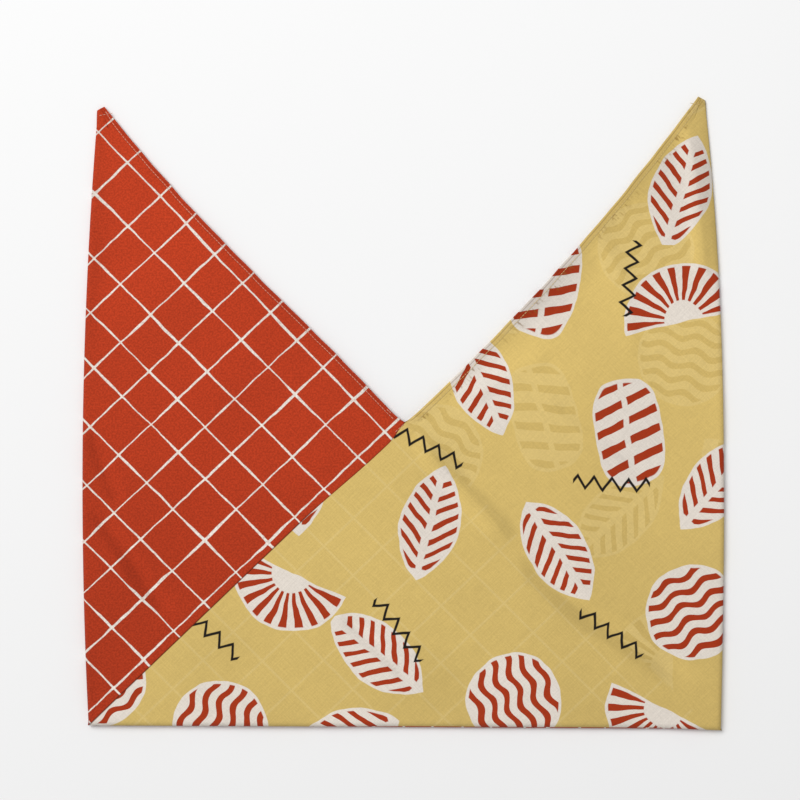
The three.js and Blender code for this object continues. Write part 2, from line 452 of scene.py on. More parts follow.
def row_levels():
    """Heights of the rows along the folded side, from the bottom edge to the tip."""
    notch = NOTCH[1]
    rounded = ROUND_STEPS - HALF_SIDE
    lower = np.linspace(rounded[-1] + 2.5 * MM, notch, ROWS_BELOW_NOTCH)
    upper = np.linspace(notch, HALF_SIDE, ROWS_ABOVE_NOTCH + 1)[1:]
    return np.concatenate([rounded, lower, upper])


def row_ends(side, front, levels):
    """Points on the fold and on the open edge for each row, and which rows are on the ear."""
    notch = NOTCH[1]
    fold_points = fold_edge(side, (levels + HALF_SIDE) / (2 * HALF_SIDE))
    seam_side = side if (side == LEFT) == front else -side
    seam_share = np.clip((levels + HALF_SIDE) / (notch + HALF_SIDE), 0, 1)
    mouth_share = np.clip((levels - notch) / (HALF_SIDE - notch), 0, 1)
    on_ear = levels > notch + 0.01 * MM
    seam = seam_edge(seam_side, seam_share)
    if seam_side == side and front:
        seam = seam_overlap(seam)
    path = np.where(on_ear[:, None], mouth_edge(side, mouth_share), seam)
    if seam_side == side:
        start = corner(side) + unit(NOTCH - corner(side)) * CORNER_GAP
        slide = np.clip(1 - seam_share / 0.02, 0, 1)[:, None]
        path = path * (1 - slide) + start * slide
    return fold_points, path, on_ear


def open_edge(side, front, levels):
    """The open edge of a layer, row by row, and how each row runs in from it."""
    fold_points, path, on_ear = row_ends(side, front, levels)
    length = np.linalg.norm(fold_points - path, axis=1)
    inward = (fold_points - path) / length[:, None]
    direction = np.gradient(path, axis=0)
    direction /= np.linalg.norm(direction, axis=1)[:, None]
    cross = direction[:, 0] * inward[:, 1] - direction[:, 1] * inward[:, 0]
    sine = np.clip(np.abs(cross), LEAST_SINE, 1)
    steps = np.linalg.norm(np.diff(path, axis=0), axis=1)
    along = np.concatenate([[0], np.cumsum(steps)])
    return SimpleNamespace(
        side=side, front=front, sign=1 if front else -1, path=path, inward=inward, length=length,
        sine=sine, lean=np.sum(direction * inward, axis=1) / sine, on_ear=on_ear,
        along=along - along[np.argmin(np.abs(levels - NOTCH[1]))],
        ease=np.clip(length / HEM_NARROWS, LEAST_SCALE, 1))


# Puckers and waves beside the hems and seams
GROOVE_DEPTH = 0.16 * MM
PUCKER_WAVES = (6.3 * MM, 8.7 * MM, 11.9 * MM)
PUCKER_CHANGES = (61 * MM, 143 * MM)
PUCKER_SHARE = {LEFT: 0.5, RIGHT: 1.8}
SEAM_PUCKER = 0.10 * MM
SEAM_WAVES = (9.1 * MM, 15.3 * MM)
UPPER_SEAM_RISE = 0.35 * MM
LOWER_SEAM_RISE = 0.05 * MM
EDGE_WAVE = 0.45 * MM
EDGE_WAVES = (47 * MM, 83 * MM, 31 * MM)
NOTCH_EASE = {LEFT: 2.4 * MM, RIGHT: 1.6 * MM}
NOTCH_REACH = 18 * MM
SEAM_SHIFT = -0.22 * MM
BACK_SHIFT = 0.8 * MM
SHIFT_REACH = 20 * MM


def edge_relief(edge, along, across, settings):
    """Rise and sideways shift of the cloth beside its hem or seam."""
    hem_width, stitch_line = hem_of(edge.side, settings)
    on_hem = falling(across, hem_width - 0.3 * MM, hem_width + 1.3 * MM)
    grooves = bump(across, stitch_line, 0.6 * MM) + bump(across, CREASE_LINE, 0.4 * MM)
    gathered = rising(across, 0, 4 * MM) * falling(across, 8 * MM, 15 * MM)
    lively = PUCKER_SHARE[edge.side] * (0.5 + 0.6 * ripple(along, *PUCKER_CHANGES))
    puckers = settings.pucker * lively * ripple(along, *PUCKER_WAVES) * gathered
    hem_rise = settings.hem_rise * on_hem - GROOVE_DEPTH * grooves + puckers
    over = UPPER_SEAM_RISE if (edge.side == LEFT) == edge.front else LOWER_SEAM_RISE
    seam_rise = over * falling(across, 1 * MM, 7 * MM)
    seam_rise = seam_rise + SEAM_PUCKER * ripple(along, *SEAM_WAVES) * gathered

    from_notch = np.clip(along, 0, None) / NOTCH_REACH
    hem_shift = EDGE_WAVE * ripple(along, *EDGE_WAVES)
    hem_shift = hem_shift + NOTCH_EASE[edge.side] * from_notch * np.exp(1 - from_notch)
    if not edge.front:
        hem_shift = hem_shift + BACK_SHIFT
    shift = np.where(edge.on_ear, hem_shift, SEAM_SHIFT) * falling(across, 0, SHIFT_REACH)
    return np.where(edge.on_ear, hem_rise, seam_rise), shift


def layer_columns(edge, settings):
    """Distance from the open edge, drop under the face and whether it is turned in, by column."""
    far_ease = np.clip(edge.length / FACE_NARROWS, LEAST_SCALE, 1)
    fold_ease = np.clip(edge.length / FOLD_NARROWS, 0.1, 1)
    hem_width, _ = hem_of(edge.side, settings)
    wider = np.where(edge.on_ear, 0, SEAM_HEM - hem_width)
    hem = hem_width + wider * rising(np.abs(edge.along), 0, 12 * MM)
    for share, inset, drop in HEM_SECTION:
        yield (share * hem + inset * PLY) * edge.ease / edge.sine, drop * PLY, True
    for step in FACE_STEPS:
        scale = edge.ease + (far_ease - edge.ease) * rising(step, 5 * MM, 15 * MM)
        yield step * scale / edge.sine, 0, False
    face_start = FACE_STEPS[-1] * far_ease / edge.sine
    fold_start = edge.length - EDGE_BEND * fold_ease
    for share in np.linspace(0, 1, FACE_COLUMNS[edge.side, edge.front] + 2)[1:-1]:
        yield face_start + (fold_start - face_start) * share, 0, False
    for step in ROUND_STEPS[:0:-1]:
        yield edge.length - step * fold_ease, 0, False


def layer(side, front, levels, settings):
    """One layer of a folded cloth as rows by columns, from its raw edge to the fold.

    Each point has x, y, z, and how far it is in from the open edge and along it.
    """
    edge = open_edge(side, front, levels)
    columns = []
    for distance, drop, turned in layer_columns(edge, settings):
        plan = lifted(side, edge.path + edge.inward * distance[:, None], levels)
        across = distance * edge.sine
        place = edge.along + across * edge.lean
        z = cloth_height(plan[:, 0], plan[:, 1], side, front, settings)
        rise, shift = edge_relief(edge, place, across, settings)
        plan = plan + edge.inward * shift[:, None]
        z = z + edge.sign * (rise - drop) * edge.ease
        z = np.maximum(z, settings.thickness / 2 + FLOOR_GAP)
        columns.append(np.column_stack([plan, z, across * (not turned), place]))
    hemmed = np.where(edge.on_ear, rising(np.abs(edge.along), 0, 4 * MM), 0)
    return np.stack(columns, axis=1), hemmed


def fold_row(side, levels, settings):
    """The column of the cloth that lies on the very fold, far from any open edge."""
    fold_points, _, _ = row_ends(side, True, levels)
    x, y = lifted(side, fold_points, levels).T
    z = cloth_height(x, y, side, True, settings)
    return np.column_stack([x, y, z, np.full((len(x), 2), FAR)])[:, None, :]


# Rows that turn the cloth in at its ends: how far each lies inside, and its share of the height
TOP_CLOSING = ((-0.25 * MM, 0.78), (0.6 * MM, 0.5), (6 * MM, 0.5))
BOTTOM_CLOSING = ((0.15 * MM, 0.6), (1 * MM, 0.2), (8 * MM, 0.2))
BOTTOM_PARTING = 0.3 * MM
# Values kept on each point; fold carries the painted shade and painted light of the cloth
EDGE_DATA = ("across", "hemmed", "along", "fold")


def closing_rows(edge, inward, steps):
    """Extra rows that turn the cloth in at an end, drawn towards its middle height."""
    middle = (edge[:, 2].max() + edge[:, 2].min()) / 2
    rows = []
    for length, scale in steps:
        row = edge.copy()
        row[:, :2] += inward * length
        row[:, 2] = middle + (row[:, 2] - middle) * scale
        rows.append(row)
    return np.stack(rows[::-1])


def folded_cloth(side, settings):
    """The whole cloth of one colour: points, quads, unfolded plan, and EDGE_DATA of each point."""
    levels = row_levels()
    front, hemmed = layer(side, True, levels, settings)
    back, _ = layer(side, False, levels, settings)
    fold = fold_row(side, levels, settings)
    grid, across, along = np.split(np.concatenate([front, fold, back[:, ::-1]], axis=1), (3, 4), 2)
    # Painted shade and painted light: the slopes of the front's folds, less the shade along the
    # sides and the mouth
    folds = -edge_shade(grid[:, :, 0], grid[:, :, 1])
    folds[:, :front.shape[1]] += fold_slope(front[:, :, 0], front[:, :, 1])
    hemmed = np.broadcast_to(hemmed[:, None, None], across.shape)
    edge_data = np.concatenate([across, hemmed, along, folds[:, :, None]], axis=2)

    behind = np.arange(grid.shape[1]) > front.shape[1]
    plain = grid[:, :, :2].copy()
    plain[:, behind, 0] = 2 * fold[:, :, 0] - plain[:, behind, 0]

    into_ear = np.array([-side * sin(TIP_SLANT), -cos(TIP_SLANT)])
    top = closing_rows(grid[-1], into_ear, TOP_CLOSING)[::-1]
    bottom = closing_rows(grid[0], np.array([0, 1]), BOTTOM_CLOSING)
    bottom[:, :, 2] += np.where(behind, -BOTTOM_PARTING, BOTTOM_PARTING)
    rows = np.concatenate([bottom, grid, top])
    extra = ((len(bottom), len(top)), (0, 0), (0, 0))
    plain = np.pad(plain, extra, mode="edge")
    edge_data = np.pad(edge_data, extra, mode="edge")

    count, width = rows.shape[:2]
    index = np.arange(count * width).reshape(count, width)
    quads = np.stack([index[:-1, :-1], index[:-1, 1:], index[1:, 1:], index[1:, :-1]], axis=-1)
    column = np.arange(width - 1)
    skip = len(HEM_SECTION)
    closed_half = behind[1:] if side == LEFT else ~behind[1:]
    keep = np.ones(quads.shape[:2], bool)
    keep[:len(bottom)] = closed_half & (column >= skip) & (column < width - 1 - skip)
    quads = quads[keep]
    if side == LEFT:
        quads = quads[:, ::-1]
    return rows.reshape(-1, 3), quads, plain.reshape(-1, 2), edge_data.reshape(-1, len(EDGE_DATA))


def new_object(name, data):
    thing = bpy.data.objects.new(name, data)
    bpy.context.scene.collection.objects.link(thing)
    return thing


def mesh_object(name, points, faces):
    """A smooth mesh of the points that the faces use, and the numbers of those points."""
    mesh = bpy.data.meshes.new(name)
    used = np.unique(faces)
    renumber = np.full(len(points), -1)
    renumber[used] = np.arange(len(used))
    mesh.from_pydata(points[used].tolist(), [], renumber[faces].tolist())
    mesh.validate()
    mesh.update()
    mesh.shade_smooth()
    return new_object(name, mesh), used


def point_attribute(mesh, name, values):
    attribute = mesh.attributes.new(name, "FLOAT", "POINT")
    attribute.data.foreach_set("value", values.astype(np.float32))


def map_layer(mesh, name, coordinates):
    """Stores two coordinates of each point as a UV map."""
    uv = mesh.uv_layers.new(name=name)
    corners = np.zeros(len(mesh.loops), np.int32)
    mesh.loops.foreach_get("vertex_index", corners)
    uv.data.foreach_set("uv", coordinates[corners].astype(np.float32).ravel())


# Lines of the hand-drawn grid: how far they lie from the seam and from the mouth
SEAM_LINES = np.array([5.5, 41, 75.6, 105, 135.5, 167, 198.4, 232, 261, 298, 331]) * MM
MOUTH_LINES = np.array([13, 45, 81.5, 113.5, 142, 176.6, 211.3]) * MM
LINES_BEYOND = 15

# How the grid lies askew: lean of the lines beside the seam, and slant and shift beside the mouth
GRID_LEAN = 0.028
MOUTH_SLANT = 0.033
MOUTH_SHIFT = 5.4 * MM
SLANT_REACH = 45 * MM


def line_numbers(distance, known, pitch):
    """Turns distances into line numbers, with even lines before the known ones and after them."""
    beyond = np.arange(1, LINES_BEYOND + 1) * pitch
    spots = np.concatenate([known[0] - beyond[::-1], known, known[-1] + beyond])
    return np.interp(distance, spots, np.arange(len(spots)) - LINES_BEYOND)


def grid_coordinates(plain, pitch):
    """Turns plan coordinates into line numbers of the grid, counted from the notch."""
    x, y = (plain - NOTCH).T
    from_mouth = (-x - y) / sqrt(2)
    from_seam = (y - x) / sqrt(2) - GRID_LEAN * from_mouth
    slant = MOUTH_SLANT * from_seam - MOUTH_SHIFT
    from_mouth = from_mouth + slant * np.clip(1 - np.abs(from_mouth) / SLANT_REACH, 0, 1)
    seam_numbers = line_numbers(from_seam, SEAM_LINES, pitch)
    return np.stack([seam_numbers, line_numbers(from_mouth, MOUTH_LINES, pitch)], axis=1)


# Nodes
def math_node(operation):
    """A method that puts its value, and any others, through a Math node."""
    return lambda value, *others: value.by(operation, *others)


class Value:
    """What a node gives at each point, for use in plain arithmetic."""

    def __init__(self, node, output=0):
        self.node = node
        self.output = output
        self.tree = node.id_data

    def then(self, kind, inputs=None, output=0, **settings):
        """Adds a node that takes this value, or the given inputs."""
        return made(self.tree, kind, inputs or (self,), output, **settings)

    def by(self, operation, *others):
        """Result of a Math node that takes this value first."""
        return self.then("ShaderNodeMath", (self, *others), operation=operation)

    __add__ = math_node("ADD")
    __sub__ = math_node("SUBTRACT")
    __mul__ = math_node("MULTIPLY")
    __truediv__ = math_node("DIVIDE")
    __abs__ = math_node("ABSOLUTE")

    def __rsub__(self, other):
        return self * -1 + other

    def ramp(self, low, high, start=0.0, end=1.0):
        """Start up to low, end from high on, and a soft change between them."""
        inputs = (self, low, high, start, end)
        return self.then("ShaderNodeMapRange", inputs, interpolation_type="SMOOTHSTEP")

    def mix(self, first, second):
        """A mix of two colours, in which this value is the share of the second."""
        # The inputs 6 and 7 and the output 2 of a Mix node are those for colours
        return self.then("ShaderNodeMix", {0: self, 6: first, 7: second}, 2, data_type="RGBA")

    def vector(self, operation, *others):
        output = "Value" if operation == "LENGTH" else 0
        return self.then("ShaderNodeVectorMath", (self, *others), output, operation=operation)

    def scaled(self, factor):
        return self.then("ShaderNodeVectorMath", {0: self, "Scale": factor}, operation="SCALE")

    def spun(self, angle):
        inputs = {"Vector": self, "Angle": angle}
        return self.then("ShaderNodeVectorRotate", inputs, rotation_type="Z_AXIS")

    def split(self):
        """The first two parts of a vector or colour."""
        return [self.then("ShaderNodeSeparateXYZ", output=part) for part in (0, 1)]

    def noise(self, scale, detail=2.0, output="Fac"):
        inputs = {"Vector": self, "Scale": scale, "Detail": detail}
        return self.then("ShaderNodeTexNoise", inputs, output)


def feed(socket, value):
    """Gives a socket a link to a value, a colour or a plain number."""
    if isinstance(value, Value):
        value.tree.links.new(value.node.outputs[value.output], socket)
    elif socket.type == "RGBA":
        socket.default_value = (*tuple(value)[:3], 1.0)
    else:
        socket.default_value = value


def made(tree, kind, inputs=(), output=0, **settings):
    """Adds a node, with inputs that go by order, number or name, and gives one of its outputs."""
    node = tree.nodes.new(kind)
    for name, value in settings.items():
        setattr(node, name, value)
    for key, value in inputs.items() if isinstance(inputs, dict) else enumerate(inputs):
        feed(node.inputs[key], value)
    return Value(node, output)


def joined(x, y):
    return x.then("ShaderNodeCombineXYZ", (x, y))


def tinted(colour, share):
    return [value * share for value in colour]


def new_material(name):
    material = bpy.data.materials.new(name)
    material.use_nodes = True
    material.node_tree.nodes.clear()
    return material


def place_in(material):
    return made(material.node_tree, "ShaderNodeTexCoord", output="Object")


def finish(material, colour, roughness, height, depth, sheen=0.06):
    """Gives a material its surface, and hands it over."""
    tree = material.node_tree
    inputs = {"Strength": 1.0, "Distance": depth, "Height": height}
    normal = made(tree, "ShaderNodeBump", inputs)
    inputs = {"Base Color": colour, "Roughness": roughness, "Normal": normal}
    surface = made(tree, "ShaderNodeBsdfPrincipled", inputs)
    surface.then("ShaderNodeOutputMaterial")
    shader = surface.node
    shader.inputs["Specular IOR Level"].default_value = 0.12
    shader.inputs["Sheen Weight"].default_value = sheen
    shader.inputs["Sheen Roughness"].default_value = 0.5
    return material


# Cotton: its threads run along the grid, at this angle to the plan
THREAD_ANGLE = pi / 4
THREAD_PITCH = 0.55 * MM
SLUB_STRETCHES = ((60, 1400, 1), (1400, 60, 1))


def weave(plan):
    """Plain weave of the cotton, with threads of uneven thickness, from 0 to 1."""
    uneven = plan.noise(140, 3)
    threads = [line * (2 * pi / THREAD_PITCH) + uneven for line in plan.spun(THREAD_ANGLE).split()]
    return threads[0].by("SINE") * threads[1].by("SINE") * 0.5 + 0.5


def slubs(plan):
    """Thicker and thinner threads along both directions of the cloth, from 0 to 1."""
    turned = plan.spun(THREAD_ANGLE)
    along, across = [turned.vector("MULTIPLY", stretch).noise(1, 1) for stretch in SLUB_STRETCHES]
    return (along + across) * 0.5


def cotton(material, plan, colour):
    """The surface of either cloth: its weave over its crumples."""
    height = weave(plan) * 0.25 + plan.noise(55, 3) * 2.2 + plan.noise(17) * 3 + slubs(plan) * 0.5
    return finish(material, colour, 0.88, height, 0.12 * MM)


def cloth_maps(tree):
    """The two maps of a cloth: its unfolded plan and its line numbers of the grid."""
    return [made(tree, "ShaderNodeUVMap", uv_map=name) for name in ("plan", "grid")]


def edge_attributes(tree, *names):
    return [made(tree, "ShaderNodeAttribute", output="Fac", attribute_name=name) for name in names]


def shaken(vector, plan, scale, amount):
    """A vector moved about by noise over the plan, as by a drawing hand."""
    shake = plan.noise(scale, output="Color").vector("SUBTRACT", (0.5, 0.5, 0.5))
    return vector.vector("ADD", shake.scaled(amount))


def line_at(across, distance, soft, share):
    """A soft line along the edge, at a distance in from it."""
    return abs(across - distance).ramp(0.1 * MM, soft, share, 0)


# Painted shade of the gathers beside the hem: stretch and spacing of the streaks, their share and
# their colour
GATHER_STRETCH = (400, 120)
GATHER_PLACES = 28
GATHER_SHARE = 0.6
GATHER_SHADE_COLOUR = (0.22, 0.11, 0.02)


def painted_gather_shade(tree):
    """Painted shade of short folds that stand square to a hem, from 0 to 1."""
    across, along, hemmed = edge_attributes(tree, "across", "along", "hemmed")
    streaks = joined(along * GATHER_STRETCH[0], across * GATHER_STRETCH[1]).noise(1)
    places = joined(along * GATHER_PLACES, 3).noise(1, 1)
    share = streaks.ramp(0.52, 0.66) * places.ramp(0.42, 0.56)
    reach = across.ramp(4.2 * MM, 5.4 * MM) * across.ramp(7.5 * MM, 13 * MM, 1, 0)
    return share * reach * hemmed


def uneven_dye_and_painted_shade(plan, colour, seam_shade, stitch_line, grit):
    """Cloth colour: uneven dye, threads, grit and a darker hem band, with painted shade on folds,
    hem creases, stitch grooves and seams, and painted light on folds.
    """
    across, hemmed, fold = edge_attributes(plan.tree, "across", "hemmed", "fold")
    colour = plan.noise(9, 3).ramp(0.3, 0.75, 0, 0.08).mix(colour, (0.02, 0.01, 0.005))
    # Painted shade and painted light from the fold attribute: darker where the front falls away
    # from the lamp and along the edges and mouth, lighter where it rises towards the lamp
    colour = colour.scaled(fold.ramp(-0.02, -0.26, 1, 0.87) * fold.ramp(0.03, 0.28, 1, 1.08))
    marks_and_painted_shade = (
        (slubs(plan).ramp(0.38, 0.62) * 0.09, (0, 0, 0)),
        (plan.noise(700, 3).ramp(0.35, 0.65, 0, grit), (0.02, 0, 0)),
        # Painted shade in the hem's crease and beside its stitches, a darker hem band, and a
        # painted shadow along the seams
        (line_at(across, CREASE_LINE, 0.55 * MM, 0.38) * hemmed, (0.08, 0.01, 0.005)),
        (line_at(across, stitch_line + 0.4 * MM, 0.9 * MM, 0.22) * hemmed, (0.04, 0.01, 0.005)),
        (across.ramp(stitch_line, stitch_line + 0.8 * MM, 0.08, 0) * hemmed, (0.1, 0, 0)),
        (across.ramp(0.35 * MM, 1 * MM, seam_shade, 0) * (1 - hemmed), (0.05, 0.015, 0.005)),
    )
    for share, tint in marks_and_painted_shade:
        colour = share.mix(colour, tint)
    return colour


def painted_shade_share(plan, lean, start, end):
    """Share of painted shade, which grows towards the bottom edge and, with lean, towards the
    right.
    """
    x, y = plan.split()
    return (x * lean - y).ramp(start, end)


# The grid: scale and strength of its drift and its tremor, and how its lines vary in breadth
GRID_SHAKES = ((24, 0.075), (95, 0.03))
LINE_BREADTH = (0.36, 0.72, 0.62, 1.68)
CROSSING = 0.035


def from_grid(line):
    """Distance to the nearest line of the grid."""
    return abs(line - line.by("ROUND"))


def red_grid_material(colours, prints, stitch_line):
    material = new_material("red_grid_cotton")
    plan, lines = cloth_maps(material.node_tree)
    for scale, amount in GRID_SHAKES:
        lines = shaken(lines, plan, scale, amount)
    half_line = plan.noise(26).ramp(*LINE_BREADTH) * (prints.grid_line / prints.grid_pitch / 2)
    first, second = [from_grid(line) - half_line for line in lines.split()]
    ink = first.by("SMOOTH_MIN", second, CROSSING).ramp(-0.004, 0.008, 1, 0)
    ink = ink * plan.noise(260, 3).ramp(0.25, 0.6, 0.8, 1)
    # Painted shade: a lit and a shaded copy of the red, darker towards the bottom and the left
    shade = painted_shade_share(plan, -0.30, -0.25, 0.32)
    lit_and_shaded_red = shade.mix(tinted(colours.red, 1.15), tinted(colours.red, 0.86))
    colour = uneven_dye_and_painted_shade(plan, ink.mix(lit_and_shaded_red, colours.grid_white), 0.42, stitch_line, 0.26)
    return cotton(material, plan, colour)


# The print: a motif in each cell of the cloth, drawn in parts of a cell's width
def cells(plan, pitch, offset, randomness):
    """Local coordinates in scattered cells, with two random values for each."""
    spread = plan.scaled(1 / pitch).vector("ADD", offset)
    inputs = {"Vector": spread, "Scale": 1, "Randomness": randomness}
    centre = plan.then("ShaderNodeTexVoronoi", inputs, "Position", voronoi_dimensions="2D")
    return spread.vector("SUBTRACT", centre), Value(centre.node, "Color").split()


def circle(x, y, radius):
    return joined(x, y).vector("LENGTH") - radius


def stripes(value, count, fill):
    """Signed share of a stripe: below zero inside it."""
    return abs((value * count).by("FRACT") - 0.5) - fill / 2


def inside(distance, soft):
    return distance.ramp(-soft, soft, 1, 0)


def leaf_motif(x, y):
    """A pointed leaf with slanted veins."""
    body = circle(x, y + 0.27, 0.46).by("MAXIMUM", circle(x, y - 0.27, 0.46))
    veins = stripes(x + abs(y) * 0.8, 11, 0.42).by("MAXIMUM", 0.022 - abs(y))
    return body, veins.by("MAXIMUM", abs(x) - 0.30)


def disc_motif(x, y):
    """A round with wavy bars."""
    wave = (x * 30).by("SINE") * 0.017
    return circle(x, y, 0.30), stripes(y + wave, 11, 0.44)


def half_round_motif(x, y):
    """A half round with bars that fan out."""
    raised = y + 0.16
    bars = stripes(raised.by("ARCTAN2", x) / pi, 11, 0.5)
    body = circle(x, raised, 0.37).by("MAXIMUM", raised * -1)
    return body, bars.by("MAXIMUM", circle(x, raised, 0.13) * -1)


def pebble_motif(x, y):
    """A rounded block with leaning bars, parted along its middle."""
    body = (abs(x / 0.34).by("POWER", 3) + abs(y / 0.21).by("POWER", 3) - 1) * 0.09
    return body, stripes(y * 0.35 + x, 8, 0.40).by("MAXIMUM", 0.018 - abs(y - 0.01))


# What each motif is drawn with, and the chances between which a cell gets it
MOTIFS = (
    (leaf_motif, -0.1, 0.30),
    (disc_motif, 0.30, 0.52),
    (half_round_motif, 0.52, 0.74),
    (pebble_motif, 0.74, 1.1),
)
PRINT_SHIFT = (15.63, 31.8, 0)
PRINT_TURN = radians(20)
PRINT_SCATTER = 0.36
MOTIF_SIZE = 1.2
MOTIF_RIM = 0.018
HAND_SCALE = 38


def motifs(plan, pitch):
    """Shares of cream and of red print at each point of the cloth."""
    drawn = shaken(plan, plan, HAND_SCALE, 5.5 * MM).spun(PRINT_TURN)
    local, (chance, turn) = cells(drawn, pitch, PRINT_SHIFT, PRINT_SCATTER)
    x, y = local.spun(turn * (2 * pi)).scaled(1 / MOTIF_SIZE).split()
    creams = []
    reds = []
    for make, low, high in MOTIFS:
        body, marks = make(x, y)
        here = chance.by("GREATER_THAN", low) * chance.by("LESS_THAN", high)
        creams.append(inside(body, 0.0025) * here)
        reds.append(inside(marks.by("MAXIMUM", body + MOTIF_RIM), 0.0032) * here)
    return sum(creams[1:], creams[0]), sum(reds[1:], reds[0])


# Black zigzags, one in most of their own cells, drawn in parts of such a cell's width
ZIGZAG_SHIFT = (21.14, 2.38, 0)
ZIGZAG_SCATTER = 0.35
ZIGZAG_PITCH = 1.42
ZIGZAG_TURNS = 11
ZIGZAG_HEIGHT = 0.13
ZIGZAG_HALF_LENGTH = 0.2045
ZIGZAG_HALF_WIDTH = 0.0068


def zigzags(plan, pitch):
    """Share of black at each point: short zigzag lines."""
    drawn = shaken(plan, plan, HAND_SCALE, 4 * MM)
    local, (chance, turn) = cells(drawn, pitch * ZIGZAG_PITCH, ZIGZAG_SHIFT, ZIGZAG_SCATTER)
    x, y = local.spun(turn * (2 * pi)).split()
    wave = abs((x * ZIGZAG_TURNS).by("FRACT") - 0.5) - 0.25
    steepness = sqrt(1 + (ZIGZAG_TURNS * ZIGZAG_HEIGHT) ** 2)
    line = abs(y - wave * ZIGZAG_HEIGHT) / steepness - ZIGZAG_HALF_WIDTH
    shape = line.by("MAXIMUM", abs(x) - ZIGZAG_HALF_LENGTH)
    return inside(shape, 0.0022) * chance.by("GREATER_THAN", 0.25)


BEHIND_MIRROR = 0.2559


def shown_through(plan, lines, pitch):
    """Faint paler lines of the grid behind, and faint patches of the print behind."""
    x, y = plan.split()
    over_print = (x + (y - float(NOTCH[1]))).ramp(-3 * MM, 3 * MM)
    first, second = [from_grid(line).ramp(0.015, 0.04, 1, 0) for line in lines.split()]
    grid = first.by("MAXIMUM", second) * (1 - over_print)
    cream, red = motifs(joined(2 * BEHIND_MIRROR - x, y), pitch)
    return grid.by("MAXIMUM", (cream - red) * over_print), red * over_print


def yellow_print_material(colours, prints, stitch_line):
    material = new_material("yellow_printed_cotton")
    plan, lines = cloth_maps(material.node_tree)
    cream, red = motifs(plan, prints.motif_pitch)
    black = zigzags(plan, prints.motif_pitch)
    pale, dark = shown_through(plan, lines, prints.motif_pitch)
    # Painted shade: the yellow gets darker towards the bottom and the right
    colour = painted_shade_share(plan, 0.15, -0.02, 0.28).mix(colours.yellow, tinted(colours.yellow, 0.89))
    prints_over = (
        (pale * 0.12, (0.95, 0.80, 0.45)),
        (dark * 0.14, (0.30, 0.19, 0.05)),
        (cream, colours.cream),
        (red, colours.print_red),
        (black, colours.black),
    )
    for share, ink in prints_over:
        colour = share.mix(colour, ink)
    colour = uneven_dye_and_painted_shade(plan, colour, 0.75, stitch_line, 0.07)
    # The gathers beside the hem get painted shade over the cloth colour
    return cotton(material, plan, (painted_gather_shade(plan.tree) * GATHER_SHARE).mix(colour, GATHER_SHADE_COLOUR))


def thread_material(name, colour):
    """Twisted sewing thread."""
    material = new_material(name)
    place = place_in(material)
    inputs = {"Vector": place, "Scale": 900, "Distortion": 0.6}
    twist = place.then("ShaderNodeTexWave", inputs, "Fac", bands_direction="DIAGONAL")
    # Painted shade in the grooves of the twist: the thread is darker where its bump is low
    return finish(material, twist.mix(tinted(colour, 0.72), colour), 0.7, twist, 0.06 * MM)


# Stitches, as Geometry Nodes
STITCH_LENGTH_SHARE = 0.93
STITCH_UNEVENNESS = 0.12
STITCH_SEED = 7
STITCH_BALL = {"Segments": 8, "Rings": 6, "Radius": 0.5}
STITCH_INPUTS = {
    "Geometry": "Geometry", "Pitch": "Float", "Length": "Float", "Width": "Float",
    "Unevenness": "Float", "Seed": "Int", "Material": "Material"}
RED_THREAD = (0.84, 0.42, 0.30)
YELLOW_THREAD = (0.74, 0.57, 0.25)


def stitch_tree():
    """Rows of stitches along the edges of the mesh that it is given."""
    tree = bpy.data.node_groups.new("stitch_row", "GeometryNodeTree")
    for name, kind in STITCH_INPUTS.items():
        tree.interface.new_socket(name=name, in_out="INPUT", socket_type="NodeSocket" + kind)
    tree.interface.new_socket(name="Geometry", in_out="OUTPUT", socket_type="NodeSocketGeometry")
    entry = tree.nodes.new("NodeGroupInput")
    lines, pitch, length, width, unevenness, seed, material = [
        Value(entry, name) for name in STITCH_INPUTS]

    tangent = made(tree, "GeometryNodeInputTangent")
    turn = tangent.then("FunctionNodeAlignRotationToVector", {"Vector": tangent}, axis="X")
    ball = made(tree, "GeometryNodeMeshUVSphere", STITCH_BALL)
    line = lines.then("GeometryNodeMeshToCurve")
    spots = line.then("GeometryNodeResampleCurve", {"Curve": line, "Length": pitch}, mode="LENGTH")
    # The inputs 2 and 3 and the output 1 of a Random Value node are those for plain numbers
    ends = {2: 1 - unevenness, 3: unevenness + 1, "Seed": seed}
    uneven = seed.then("FunctionNodeRandomValue", ends, 1, data_type="FLOAT")
    size = length.then("ShaderNodeCombineXYZ", (length, width, width)).scaled(uneven)
    parts = {"Points": spots, "Instance": ball, "Rotation": turn, "Scale": size}
    stitches = spots.then("GeometryNodeInstanceOnPoints", parts)
    stitches = stitches.then("GeometryNodeRealizeInstances").then("GeometryNodeSetShadeSmooth")
    painted = {"Geometry": stitches, "Material": material}
    stitches.then("GeometryNodeSetMaterial", painted).then("NodeGroupOutput")
    return tree


